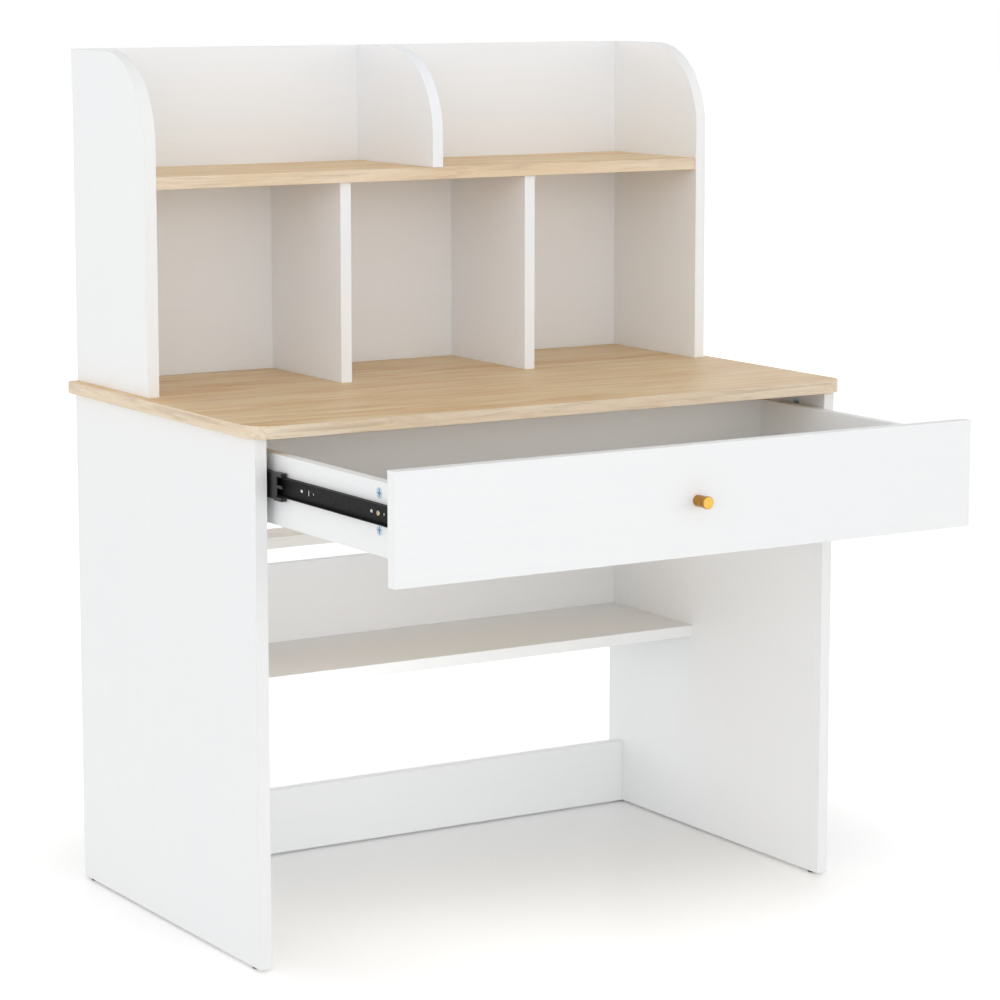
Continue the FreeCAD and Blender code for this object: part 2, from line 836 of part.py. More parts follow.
for side, side_board in sides.items():
    joint_x = inner_x * side
    shelf_z = foot_shelf.low["z"] + s.board / 2
    for y in (foot_shelf.low["y"] + s.shelf_joint_front, back - s.shelf_joint_back):
        here = at(joint_x, y, shelf_z)
        desk_joints.cam(foot_shelf, side_board, "x", side, here, "z", -1, LONG)
        pin = shifted(here, "y", s.dowel_step)
        desk_joints.dowel(foot_shelf, side_board, "x", side, pin)
    here = at(joint_x, rail.low["y"] + s.rail_joint, rail.low["z"] + s.board / 2)
    desk_joints.cam(rail, side_board, "x", side, here, "z", -1, LONG)
    pin = shifted(here, "y", s.dowel_step)
    desk_joints.dowel(rail, side_board, "x", side, pin)
    here = at(joint_x, back - s.thin_board / 2, modesty.low["z"] + s.modesty_joint)
    desk_joints.cam(modesty, side_board, "x", side, here, "y", 1, LONG_THIN)
    pin = shifted(here, "z", s.modesty_step)
    desk_joints.dowel(modesty, side_board, "x", side, pin)
    stretcher_y = stretcher.low["y"] + s.board / 2
    here = at(joint_x, stretcher_y, stretcher.low["z"] + s.stretcher_joint)
    desk_joints.cam(stretcher, side_board, "x", side, here, "y", 1, LONG)
    pin = shifted(here, "z", s.dowel_step)
    desk_joints.dowel(stretcher, side_board, "x", side, pin)
    middle_x = (inner_x + s.board / 2) * side
    for y in (front + s.top_joint, back - s.top_joint):
        here = at(middle_x, y, under_top)
        desk_joints.cam(side_board, top, "z", 1, here, "x", -side, SHORT)
    for y in (front + s.top_dowel, back - s.top_dowel):
        desk_joints.dowel(side_board, top, "z", 1, at(middle_x, y, under_top))
for x in (-inner_x / 2, inner_x / 2):
    here = at(x, back - s.thin_board / 2, s.foot_shelf_height)
    desk_joints.dowel(modesty, foot_shelf, "z", -1, here)


# Glides under the side panels.


def glide():
    """Plastic pad with a nail, pad's underside on the floor."""
    bevel = 1
    return turned(
        "glide",
        [
            (ZERO, s.glide_radius - bevel),
            (s.glide_height / 3, s.glide_radius),
            (s.glide_height, s.glide_radius),
            (s.glide_height, s.nail_radius),
            (s.glide_height + s.nail_length, s.nail_radius),
        ],
    )


glides = Group("foot_glides")
glide_drawn = glide()
for side, side_board in sides.items():
    middle_x = (inner_x + s.board / 2) * side
    for y in (front + s.glide_inset, back - s.glide_inset):
        under = at(middle_x, y, s.glide_height)
        nail_bore = s.nail_radius + s.hole_gap
        nail_sunk = s.nail_length + s.hole_gap
        side_board.hole("z", -1, under, nail_bore, nail_sunk)
        glides.add(glide_drawn, {**under, "z": ZERO}, UNIT["z"])
glides.gather()


# Boards of the hutch.

hutch_sides = {-1: hutch_side(-1), 1: hutch_side(1)}
hutch_panel = panel(
    "hutch_back_panel",
    "y",
    (-hutch_in, hutch_back, s.desk_height),
    (hutch_in, back, hutch_top),
)
shelf_front = hutch_front + s.shelf_setback
shelf = Solid(
    "hutch_shelf",
    (-hutch_in, shelf_front + s.band, shelf_low),
    (hutch_in, hutch_back, shelf_high),
).block("z")
shelf_band = Solid(
    "hutch_shelf_edge_band",
    (-hutch_in, shelf_front, shelf_low),
    (hutch_in, shelf_front + s.band, shelf_high),
).block("z")
shelf_band.fillet("softened", lambda edge: edge.BoundBox.YMax < NEAR, s.soften)
first_x = -hutch_in + s.left_cubby
second_x = first_x + s.board + s.middle_cubby
lower_dividers = []
for label, x in (
    ("hutch_lower_left_divider", first_x),
    ("hutch_lower_right_divider", second_x),
):
    board = hutch_divider(label, x, s.desk_height, shelf_low, s.divider_setback)
    lower_dividers.append(board.soften())
top_divider = hutch_divider(
    "hutch_top_divider", -hutch_in + s.left_bay, shelf_high, hutch_top, ZERO
)
divider_corner = smaller(s.hutch_corner, top_divider.size("z") - s.board)
top_divider.round_corner("x", hutch_front, hutch_top, divider_corner)
top_divider.soften()

hutch_screws = Group("hutch_screws")
for side, side_board in hutch_sides.items():
    joint_x = hutch_in * side
    shelf_z = shelf_low + s.board / 2
    for y in (shelf_front + s.hutch_joint, hutch_back - s.hutch_joint):
        here = at(joint_x, y, shelf_z)
        hutch_joints.cam(shelf, side_board, "x", side, here, "z", -1, LONG)
    middle = at(joint_x, (shelf_front + hutch_back) / 2, shelf_z)
    hutch_joints.dowel(shelf, side_board, "x", side, middle)
    panel_y = hutch_back + s.thin_board / 2
    for z in (
        s.desk_height + s.panel_joint,
        shelf_low - s.panel_joint,
        hutch_top - s.panel_joint,
    ):
        here = at(joint_x, panel_y, z)
        hutch_joints.cam(hutch_panel, side_board, "x", side, here, "y", 1, LONG_THIN)
    middle_x = (hutch_in + s.board / 2) * side
    for y in (hutch_front + s.hutch_joint, back - s.hutch_joint):
        under = at(middle_x, y, under_top)
        screw_through(hutch_screws, top, side_board, "z", 1, under)
    here = at(middle_x, (hutch_front + back) / 2, s.desk_height)
    hutch_joints.dowel(side_board, top, "z", -1, here)
for board in lower_dividers:
    middle_x = board.low["x"] + s.board / 2
    for y in (board.low["y"] + s.hutch_joint, hutch_back - s.hutch_joint):
        under = at(middle_x, y, under_top)
        screw_through(hutch_screws, top, board, "z", 1, under)
        hutch_joints.dowel(board, shelf, "z", 1, at(middle_x, y, shelf_low))
    for z in (s.desk_height + s.divider_joint, shelf_low - s.divider_joint):
        behind = at(middle_x, back, z)
        screw_through(hutch_screws, hutch_panel, board, "y", -1, behind)
middle_x = top_divider.low["x"] + s.board / 2
for y in (hutch_front + s.hutch_joint, hutch_back - s.hutch_joint):
    hutch_joints.dowel(top_divider, shelf, "z", -1, at(middle_x, y, shelf_high))
behind = at(middle_x, back, shelf_high + s.divider_joint)
screw_through(hutch_screws, hutch_panel, top_divider, "y", -1, behind)
for x in (-hutch_in / 2, hutch_in / 2):
    behind = at(x, back, shelf_low + s.board / 2)
    screw_through(hutch_screws, hutch_panel, shelf, "y", -1, behind)


# Drawer.

face_x = inner_x - s.face_gap
face = panel(
    "drawer_front",
    "y",
    (-face_x, face_front, face_low),
    (face_x, face_back, face_high),
)
drawer_sides = {}
for side in (-1, 1):
    xs = (-box_out, -box_in) if side < 0 else (box_in, box_out)
    drawer_sides[side] = panel(
        "drawer_left_side" if side < 0 else "drawer_right_side",
        "x",
        (xs[0], face_back, box_low),
        (xs[1], box_end, box_high),
    )
drawer_back = panel(
    "drawer_back", "y", (-box_in, box_back, box_low), (box_in, box_end, box_high)
)
groove_z = (box_low + s.groove_rise, box_low + s.groove_rise + s.bottom_sheet)
tongue = s.groove_depth - s.groove_gap * 2
drawer_bottom = Solid(
    "drawer_bottom",
    (-(box_in + tongue), face_back - tongue, groove_z[0]),
    (box_in + tongue, box_back + tongue, groove_z[1]),
).block("z")
groove_low, groove_high = groove_z[0] - s.groove_gap, groove_z[1] + s.groove_gap
groove_x = box_in + s.groove_depth
face.slot(
    "y", face_back, s.groove_depth, (-groove_x, groove_low), (groove_x, groove_high)
)
drawer_back.slot(
    "y",
    box_back,
    s.groove_depth,
    (-(box_in + PAST), groove_low),
    (box_in + PAST, groove_high),
)
for side, board in drawer_sides.items():
    ends = (face_back - PAST, box_back + s.groove_depth)
    board.slot(
        "x",
        box_in * side,
        s.groove_depth,
        (ends[0], groove_low),
        (ends[1], groove_high),
    )

back_screws = Group("drawer_back_screws")
for side, board in drawer_sides.items():
    middle_x = (box_in + s.thin_board / 2) * side
    for z in (slide_z + s.upper_cam, slide_z - s.lower_cam):
        here = at(middle_x, face_back, z)
        drawer_joints.cam(board, face, "y", -1, here, "x", side, FACE_THIN)
    for z in (box_low + s.back_screw_low, box_high - s.back_screw_high):
        here = at(box_out * side, box_end - s.thin_board / 2, z)
        screw_through(back_screws, board, drawer_back, "x", -side, here)
back_screws.gather()


# Knob and its screw, both drawn along +X and turned to point forward.

knob_z = (face_low + face_high) / 2
toward_front = Rotation(UNIT["z"], -90)


def knob():
    """Turned brass knob: barrel, neck and cap, with a blind hole behind."""
    bore = s.knob_screw_radius + s.hole_gap
    deep = s.knob_screw_grip + s.hole_gap
    neck, chamfer = 1.2, 0.7
    cap_back = s.knob_length - s.knob_cap
    return turned(
        "drawer_knob",
        [
            (deep, bore),
            (ZERO, bore),
            (ZERO, s.knob_radius),
            (cap_back - neck, s.knob_radius),
            (cap_back - neck, s.knob_neck_radius),
            (cap_back, s.knob_neck_radius),
            (cap_back, s.knob_cap_radius - chamfer),
            (cap_back + chamfer, s.knob_cap_radius),
            (s.knob_length - chamfer, s.knob_cap_radius),
            (s.knob_length, s.knob_cap_radius - chamfer),
        ],
    )


def knob_screw():
    """Machine screw from inside the drawer front into the knob."""
    middle = s.knob_screw_head / 2
    return turned(
        "knob_screw",
        [
            (-s.knob_screw_head, s.knob_screw_head_radius - middle),
            (-middle, s.knob_screw_head_radius),
            (ZERO, s.knob_screw_head_radius),
            (ZERO, s.knob_screw_radius),
            (s.board + s.knob_screw_grip, s.knob_screw_radius),
        ],
    )


for body, y in ((knob(), face_front), (knob_screw(), face_back)):
    body.Label = body.Name
    place(body, (ZERO, y, knob_z), toward_front)
    subparts.append(body)
behind_knob = at(ZERO, face_back, knob_z)
face.hole("y", 1, behind_knob, s.knob_screw_radius + s.hole_gap, s.board)


# Slides. The cabinet member is a channel open towards the drawer, the drawer
# member is a narrower one open towards the cabinet, and two rows of balls in a
# cage run between their flanges. The cage travels half as far as the drawer.

slide_front = face_back + s.slide_setback
cabinet_front = slide_front + s.drawer_open
cage_front = front - s.cage_reach
race_z = (inner_height + s.race_room) / 2
last_group = s.slide_length - s.last_group


def channel(label, wall_x, toward, depth, height, low_y):
    """A steel channel with its web on a wall and flanges towards the middle."""
    tip = wall_x + depth * toward
    web = wall_x + s.sheet_steel * toward
    low_x, high_x = (wall_x, tip) if toward > 0 else (tip, wall_x)
    low = (low_x, low_y, slide_z - height / 2)
    high = (high_x, low_y + s.slide_length, slide_z + height / 2)
    member = Solid(label, low, high)
    low_z, high_z = member.low["z"], member.high["z"]
    member.pad(
        "y",
        [
            (wall_x, low_z),
            (tip, low_z),
            (tip, low_z + s.sheet_steel),
            (web, low_z + s.sheet_steel),
            (web, high_z - s.sheet_steel),
            (tip, high_z - s.sheet_steel),
            (tip, high_z),
            (wall_x, high_z),
        ],
    )
    for z in (low_z, high_z):
        member.round_corner("y", wall_x, z, s.bend_radius)
    return member


def hole_group(member, wall_x, side, first_y):
    """A round hole, an upright slot and a long slot in a member's web."""
    upright_y, long_y = first_y + s.upright_step, first_y + s.long_step
    reach, rise = s.slot_length / 2 - s.slot_radius, s.slot_height / 2 - s.slot_radius
    member.hole("x", side, at(wall_x, first_y, slide_z), s.slot_radius, s.sheet_steel)
    local_y, local_z = member.local("y", upright_y), member.local("z", slide_z)

    def upright(sketch):
        ends = (local_z - rise, local_z + rise)
        round_slot(sketch, ends, local_y, s.slot_radius, True)

    def along(sketch):
        middle = member.local("y", long_y)
        ends = (middle - reach, middle + reach)
        round_slot(sketch, ends, local_z, s.slot_radius, False)

    member.cut("x", wall_x, s.sheet_steel, upright)
    member.cut("x", wall_x, s.sheet_steel, along)
    return upright_y


def round_slot(sketch, ends, across, radius, upright):
    """A slot with round ends, from one centre to the other."""
    low, high = ends
    corners = [
        (low, across - radius),
        (high, across - radius),
        (high, across + radius),
        (low, across + radius),
    ]
    tips = [(high + radius, across), (low - radius, across)]
    if upright:
        corners = [(v, u) for u, v in corners]
        tips = [(v, u) for u, v in tips]
    a, b, c, d = (Vector(plain(u), plain(v), 0) for u, v in corners)
    tip_b, tip_d = (Vector(plain(u), plain(v), 0) for u, v in tips)
    for edge in (
        Part.LineSegment(a, b),
        Part.Arc(b, tip_b, c),
        Part.LineSegment(c, d),
        Part.Arc(d, tip_d, a),
    ):
        sketch.addGeometry(edge, False)
    for line, end in ((0, 1), (2, 3)):
        for start in (line, end):
            u, v = corners[start]
            point = 1 if start == line else 2
            tie(sketch, "DistanceX", line, point, u)
            tie(sketch, "DistanceY", line, point, v)
    for arc, end in ((1, high), (3, low)):
        kind = "DistanceY" if upright else "DistanceX"
        tie(sketch, kind, arc, 3, end)
    join_arc(sketch, 0, 1, 2, upright)
    join_arc(sketch, 2, 3, 0, upright)


def join_arc(sketch, before, arc, after, turned_over):
    """Joins an arc's ends to the line before it and the line after it."""
    first, last = (2, 1) if turned_over else (1, 2)
    sketch.addConstraint(Sketcher.Constraint("Coincident", before, 2, arc, first))
    sketch.addConstraint(Sketcher.Constraint("Coincident", arc, last, after, 1))


def ball_cage(name, side):
    """Cage with a web, two rails that hold the balls, and a forked nose."""
    inside = inner_x - outer_flange + s.cage_gap
    web_in = box_out + inner_flange + s.cage_gap
    web_out = web_in + s.cage_wall
    nose_out = inner_x - s.sheet_steel - s.cage_gap
    rail = s.race_room / 2 - s.rail_gap
    rail_in, rail_out = race_z - rail, race_z + rail
    nose_low = inner_height / 2 + s.cage_gap
    nose_high = s.outer_height / 2 - s.sheet_steel - s.cage_gap
    xs = sorted((inside * side, nose_out * side), key=plain)
    low = (xs[0], cage_front, slide_z - nose_high)
    high = (xs[1], cage_front + s.cage_length, slide_z + nose_high)
    cage = Solid(f"{name}_slide_cage", low, high)
    x0, x1, x2, x3 = (x * side for x in (inside, web_in, web_out, nose_out))
    cage.pad(
        "y",
        [
            (x0, slide_z - rail_out),
            (x2, slide_z - rail_out),
            (x2, slide_z + rail_out),
            (x0, slide_z + rail_out),
            (x0, slide_z + rail_in),
            (x1, slide_z + rail_in),
            (x1, slide_z - rail_in),
            (x0, slide_z - rail_in),
        ],
    )
    for up in (-1, 1):
        zs = sorted((slide_z + nose_low * up, slide_z + nose_high * up), key=plain)
        left, right = sorted((x0, x3), key=plain)
        block = rectangle(left, zs[0], right, zs[1])
        cage.add("y", cage_front, s.cage_nose, block)
        notch = sorted((s.cage_finger / 2 * up, nose_low * up), key=plain)
        cage.slot(
            "x",
            x1,
            s.cage_wall,
            (cage_front - PAST, slide_z + notch[0]),
            (cage_front + s.cage_notch, slide_z + notch[1]),
        )
    balls = Group(f"{name}_slide_balls")
    ball_x = (x0 + x2) / 2
    for up in (-1, 1):
        for i in range(BALLS):
            y = cage_front + s.ball_start + s.ball_pitch * i
            here = at(ball_x, y, slide_z + race_z * up)
            balls.add(ball_drawn, here, UNIT["x"])
            rim = {**here, "z": slide_z + nose_high * up}
            bore = ball_radius + s.ball_gap
            cage.hole("z", up, rim, bore, nose_high - nose_low)
    cage.drill()
    balls.gather()


for side in (-1, 1):
    name = "left" if side < 0 else "right"
    shank = s.pan_shank_radius + s.hole_gap
    sunk = s.pan_shank - s.sheet_steel + s.hole_gap
    cabinet_wall, drawer_wall = inner_x * side, box_out * side
    cabinet_member = channel(
        f"{name}_slide_cabinet_member",
        cabinet_wall,
        -side,
        outer_flange,
        s.outer_height,
        cabinet_front,
    )
    drawer_member = channel(
        f"{name}_slide_drawer_member",
        drawer_wall,
        side,
        inner_flange,
        inner_height,
        slide_front,
    )
    cabinet_screws = Group(f"{name}_cabinet_slide_screws")
    for y in (s.first_group, s.middle_group, last_group):
        screw_y = hole_group(cabinet_member, cabinet_wall, side, cabinet_front + y)
        here = at(cabinet_wall - s.sheet_steel * side, screw_y, slide_z)
        sides[side].hole("x", -side, here, shank, sunk)
        cabinet_screws.add(pan_drawn, here, direction("x", side))
    drawer_screws = Group(f"{name}_drawer_slide_screws")
    hole_group(drawer_member, drawer_wall, -side, slide_front + s.middle_group)
    for y in (s.first_group, last_group):
        screw_y = hole_group(drawer_member, drawer_wall, -side, slide_front + y)
        here = at(drawer_wall + s.sheet_steel * side, screw_y, slide_z)
        drawer_sides[side].hole("x", side, here, shank, sunk)
        drawer_screws.add(pan_drawn, here, direction("x", -side))
    cabinet_screws.gather()
    drawer_screws.gather()
    cabinet_member.drill()
    drawer_member.drill()
    ball_cage(name, side)

for joints in (desk_joints, hutch_joints, drawer_joints):
    joints.gather()
hutch_screws.gather()
for solid in (
    top,
    *sides.values(),
    foot_shelf,
    modesty,
    rail,
    stretcher,
    *hutch_sides.values(),
    hutch_panel,
    shelf,
    *lower_dividers,
    top_divider,
    face,
    *drawer_sides.values(),
    drawer_back,
):
    solid.drill()


def check_and_write():
    """Stops on any failed object, then writes each sub-part to its own file."""
    doc.recompute()
    for thing in doc.Objects:
        if {"Invalid", "Error"} & set(thing.State):
            raise RuntimeError(f"{thing.Name} failed: {thing.State}")
    for piece in subparts:
        if piece.Shape.isNull() or not piece.Shape.isValid():
            raise RuntimeError(f"{piece.Label} has no valid shape")
    os.makedirs("parts", exist_ok=True)
    for piece in subparts:
        piece.Shape.exportStep(os.path.join("parts", f"{piece.Label}.step"))
        print(piece.Label, len(piece.Shape.Solids))


check_and_write()
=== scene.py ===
import math

import bmesh
import bpy
from mathutils import Matrix, Vector


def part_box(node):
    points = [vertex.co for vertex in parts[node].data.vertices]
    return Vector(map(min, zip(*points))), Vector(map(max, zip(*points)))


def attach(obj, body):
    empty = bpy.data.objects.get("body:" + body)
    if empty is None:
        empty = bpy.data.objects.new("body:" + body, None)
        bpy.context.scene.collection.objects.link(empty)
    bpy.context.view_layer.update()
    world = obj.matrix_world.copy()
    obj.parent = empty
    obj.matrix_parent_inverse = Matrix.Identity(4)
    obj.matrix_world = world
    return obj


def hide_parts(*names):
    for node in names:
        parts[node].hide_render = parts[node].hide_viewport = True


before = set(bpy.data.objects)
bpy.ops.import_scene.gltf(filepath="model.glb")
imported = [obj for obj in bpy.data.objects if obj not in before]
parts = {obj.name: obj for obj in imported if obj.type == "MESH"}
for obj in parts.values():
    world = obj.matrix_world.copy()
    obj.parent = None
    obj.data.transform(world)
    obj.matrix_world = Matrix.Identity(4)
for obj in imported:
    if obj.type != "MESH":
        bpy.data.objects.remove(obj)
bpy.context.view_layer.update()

# Desktop: chipboard faced with printed oak, the grain running left to right.
# It lies on the two side panels, held from below by cam locks and dowels, and
# carries the hutch on its back half.

MM = 0.001
ACROSS_X, ACROSS_Y, ACROSS_Z = (1, 0, 0), (0, 1, 0), (0, 0, 1)
NOISE_LOW, NOISE_HIGH = 0.3, 0.7


class Finish:
    """A surface finish in the making: its material, node tree and shader."""

    def __init__(self, name, **sockets):
        self.material = bpy.data.materials.new(name)
        self.material.use_nodes = True
        self.tree = self.material.node_tree
        self.shader = self.tree.nodes["Principled BSDF"]
        self.place = self.node("TexCoord").outputs["Object"]
        for socket, value in sockets.items():
            self.shader.inputs[socket.replace("_", " ")].default_value = value

    def node(self, kind, inputs=(), **settings):
        """Adds a node; an input is a number or colour, or another node's output."""
        node = self.tree.nodes.new("ShaderNode" + kind)
        for setting, value in settings.items():
            setattr(node, setting, value)
        for socket, value in dict(inputs).items():
            if isinstance(value, bpy.types.NodeSocket):
                self.tree.links.new(value, node.inputs[socket])
            else:
                node.inputs[socket].default_value = value
        return node

    def feed(self, socket, source):
        """Joins what changes over the surface to a socket of the shader."""
        self.tree.links.new(source, self.shader.inputs[socket])

    def noise(self, per_metre, detail, roughness, distortion=0.0, shift=(0, 0, 0)):
        """Noise with so many blotches per metre along X, Y and Z."""
        stretched = self.node(
            "Mapping",
            {"Vector": self.place, "Scale": per_metre, "Location": shift},
        )
        fog = self.node(
            "TexNoise",
            {
                "Vector": stretched.outputs[0],
                "Scale": 1.0,
                "Detail": detail,
                "Roughness": roughness,
                "Distortion": distortion,
            },
        )
        return fog.outputs["Fac"]

    def spread(self, value, low, high, to_low=0.0, to_high=1.0):
        """Stretches the part of a value from low to high over a new range."""
        stretched = self.node(
            "MapRange",
            {
                "Value": value,
                "From Min": low,
                "From Max": high,
                "To Min": to_low,
                "To Max": to_high,
            },
        )
        return stretched.outputs[0]

    def full(self, noise, to_low=0.0, to_high=1.0):
        """Stretches noise, which seldom leaves its middle, over a whole range."""
        return self.spread(noise, NOISE_LOW, NOISE_HIGH, to_low, to_high)

    def combine(self, operation, first, second):
        """Subtracts or multiplies two values, or takes the larger one."""
        result = self.node("Math", {0: first, 1: second}, operation=operation)
        return result.outputs[0]

    def tint(self, amount, first, second):
        """Goes from the first colour to the second by an amount from 0 to 1."""
        mixed = self.node("Mix", {0: amount, 6: first, 7: second}, data_type="RGBA")
        return mixed.outputs[2]

    def facing(self, axis):
        """1 where the surface lies across an axis, 0 where it runs along it."""
        normal = self.node("NewGeometry").outputs["True Normal"]
        dot = self.node("VectorMath", {0: normal, 1: axis}, operation="DOT_PRODUCT")
        size = self.node("Math", {0: dot.outputs["Value"]}, operation="ABSOLUTE")
        return size.outputs[0]

    def relief(self, height, depth, strength):
        """Embosses the surface by a depth in metres where height is 1."""
        bump = self.node("Bump", {"Height": height, "Distance": depth, "Strength": strength})
        self.feed("Normal", bump.outputs[0])

    def wear(self, color, roughness):
        """Gives the shader its colour and roughness over the surface."""
        self.feed("Base Color", color)
        self.feed("Roughness", roughness)


def rgb(red, green, blue):
    """A colour as a colour card gives it, 0 to 255, for a shader."""
    linear = []
    for level in (red, green, blue):
        share = level / 255
        if share <= 0.04045:
            linear.append(share / 12.92)
        else:
            linear.append(((share + 0.055) / 1.055) ** 2.4)
    return (*linear, 1.0)


def dress(finish, *names):
    """Puts a finish on nodes of the frame."""
    for name in names:
        slots = parts[name].data.materials
        slots.clear()
        slots.append(finish.material)


def oak(name, shift, dark, middle, light, warm):
    """Printed oak pressed with fine open pores, its grain along X.

    On faces that look along X, as on a band round a board's end, it runs along Y.
    shift moves the figure, so that no two boards show the same part of it.
    """
    finish = Finish(name)
    end = finish.spread(finish.facing(ACROSS_X), 0.6, 0.8)

    def along(lengthways, crossways, **shape):
        """Noise drawn out along the grain, in blotches per metre each way."""
        face = finish.noise((lengthways, crossways, crossways), shift=shift, **shape)
        side = finish.noise((crossways, lengthways, crossways), shift=shift, **shape)
        return finish.spread(end, 0, 1, face, side)

    patches = along(2.4, 9, detail=3, roughness=0.5, distortion=0.7)
    figure = along(1.9, 22, detail=6, roughness=0.66, distortion=1.9)
    flecks = along(6, 105, detail=4, roughness=0.66, distortion=0.9)
    fibre = along(16, 430, detail=3, roughness=0.6, distortion=0.3)
    pores = along(75, 1500, detail=2, roughness=0.5)

    base = middle
    for noise, begins, whole, strength, color in (
        (patches, 0.4, 0.62, 1.0, warm),
        (figure, 0.38, 0.62, 0.7, light),
        (flecks, 0.47, 0.68, 0.54, dark),
        (fibre, NOISE_LOW, NOISE_HIGH, 0.4, middle),
        (pores, 0.6, 0.72, 0.3, dark),
    ):
        layer = finish.spread(noise, begins, whole, to_high=strength)
        base = finish.tint(layer, base, color)
    finish.wear(base, finish.spread(fibre, 0.25, 0.75, to_low=0.34, to_high=0.48))
    pits = finish.spread(pores, 0.6, 0.72)
    finish.relief(finish.combine("SUBTRACT", fibre, pits), 0.12 * MM, 0.6)
    return finish


OAK_FACE = {
    "dark": rgb(186, 138, 88),
    "middle": rgb(234, 205, 158),
    "light": rgb(245, 224, 186),
    "warm": rgb(219, 166, 92),
}
dress(oak("printed oak face", (0, 0, 0), **OAK_FACE), "desktop")

# Oak edge band: a millimetre of printed plastic glued round the desktop's sides
# and front, and along the hutch shelf's front. It is a little paler than the face.

OAK_BAND = {
    "dark": rgb(174, 143, 110),
    "middle": rgb(233, 214, 188),
    "light": rgb(242, 228, 206),
    "warm": rgb(228, 203, 168),
}
dress(oak("printed oak edge band", (0.37, 0.11, 0.2), **OAK_BAND), "desktop_edge_band")

# Side panels: white-faced chipboard standing on glides, with the pressed grain
# upright and white edge bands all round.

UPRIGHT_GRAIN = (170, 170, 5)
LEVEL_GRAIN = (5, 170, 170)
DEEP_GRAIN = (170, 5, 170)
PORES_PER_STREAK = 8


def white_board(node, thick, grain, shift, painted_cool=0):
    """Dresses a white-faced board: pressed grain on its faces, plain edge bands.

    thick is the axis across the board, grain is how many streaks a metre holds
    along each axis, shift moves the grain so that no two boards are alike, and
    the last argument makes the white a little bluer, a painted cool tint for
    boards inside the hutch that offsets the warm light bounced onto them from the oak.
    """
    finish = Finish(f"white board, {node}")

    # Whites here take the painted cool tint, which offsets warm bounced light.
    def white(red, green, blue):
        return rgb(red, green + painted_cool, blue + 3 * painted_cool)

    cloud = finish.noise((3, 3, 3), detail=2, roughness=0.5, shift=shift)
    streaks = finish.noise(grain, detail=4, roughness=0.6, distortion=0.5, shift=shift)
    fine_grain = [PORES_PER_STREAK * streak for streak in grain]
    pores = finish.noise(fine_grain, detail=2, roughness=0.5, shift=shift)
    pores = finish.spread(pores, 0.56, 0.7)
    rub = finish.noise((40, 40, 40), detail=3, roughness=0.6)
    rub = finish.spread(rub, 0.35, 0.7, to_low=0.15, to_high=0.75)

    across = finish.facing(thick)
    face = finish.spread(across, 0.97, 0.99)
    band = finish.spread(across, 0.1, 0.05)
    arris = finish.combine("SUBTRACT", finish.combine("SUBTRACT", 1.0, face), band)

    shade = white(244, 245, 246)
    for layer, color in (
        (finish.full(streaks), white(246, 247, 247)),
        (finish.full(cloud, to_high=0.6), white(244, 245, 247)),
        (finish.combine("MULTIPLY", pores, 0.11), white(231, 231, 229)),
        (band, white(245, 246, 246)),
        (finish.combine("MULTIPLY", arris, rub), rgb(229, 229, 225)),
    ):
        shade = finish.tint(layer, shade, color)
    finish.wear(shade, finish.full(streaks, to_low=0.36, to_high=0.48))
    emboss = finish.combine("MULTIPLY", finish.combine("SUBTRACT", streaks, pores), face)
    finish.relief(emboss, 0.02 * MM, 0.25)
    dress(finish, node)


for i, node in enumerate(("left_side_panel", "right_side_panel")):
    white_board(node, ACROSS_X, UPRIGHT_GRAIN, shift=(i * 3.1, 0, 1.7))

# Foot shelf, modesty panel, rear rail and bottom stretcher: white boards between
# the side panels, grain left to right, held by cam locks and dowels.

for i, (node, thick) in enumerate(
    (
        ("foot_shelf", ACROSS_Z),
        ("modesty_panel", ACROSS_Y),
        ("rear_rail", ACROSS_Z),
        ("bottom_stretcher", ACROSS_Y),
    )
):
    white_board(node, thick, LEVEL_GRAIN, shift=(i * 2.3, 5, 0))

# Glides: moulded black plastic pads that the desk stands on, each knocked into
# the foot of a side panel with its own nail, two under each panel.


def speckled(name, speckle, tones, roughness, emboss=None, **sockets):
    """A plain material whose colour, roughness and relief follow one fine noise.

    speckle says how the noise is made, tones are the darkest and lightest colour,
    roughness is its range, and emboss is the relief's depth and strength.
    """
    finish = Finish(name, **sockets)
    noise = finish.noise(**speckle)
    finish.wear(finish.tint(noise, *tones), finish.full(noise, *roughness))
    if emboss:
        finish.relief(noise, *emboss)
    return finish


glide_plastic = speckled(
    "moulded black plastic",
    speckle={"per_metre": (900, 900, 900), "detail": 3, "roughness": 0.6},
    tones=(rgb(22, 22, 23), rgb(40, 40, 41)),
    roughness=(0.45, 0.65),
    emboss=(0.05 * MM, 0.5),
    IOR=1.5,
)
dress(glide_plastic, "foot_glides")

# Hutch: white sides and dividers with the grain upright, rounded at the upper
# front, and a white back panel with its grain left to right, flush with the backs.

# The dividers and back panel inside the hutch get a painted cool tint, a bluer white that
# offsets the warm light bounced onto them from the oak.
PAINTED_COOL_INSIDE, PAINTED_COOL_BACK = 1.5, 0.8
for i, (node, painted_cool) in enumerate(
    (
        ("hutch_left_side", 0),
        ("hutch_right_side", 0),
        ("hutch_lower_left_divider", PAINTED_COOL_INSIDE),
        ("hutch_lower_right_divider", PAINTED_COOL_INSIDE),
        ("hutch_top_divider", PAINTED_COOL_INSIDE),
    )
):
    white_board(node, ACROSS_X, UPRIGHT_GRAIN, shift=(i * 1.9, 2, 4.3), painted_cool=painted_cool)
white_board("hutch_back_panel", ACROSS_Y, LEVEL_GRAIN, shift=(7, 1, 3), painted_cool=PAINTED_COOL_BACK)

# Hutch shelf: an oak-faced board between the hutch sides, with an oak band along
# its front. It rests on the lower dividers and carries the upper one.

dress(oak("printed oak shelf", (1.3, 0.6, 0.4), **OAK_FACE), "hutch_shelf")
dress(oak("printed oak shelf band", (2.2, 0.9, 0.1), **OAK_BAND), "hutch_shelf_edge_band")

# Joinery: die-cast zinc cam locks with a bluish passivation, plated steel cam
# bolts, and fluted beech dowels glued in the boards.

MARKS_PER_PATCH = 12


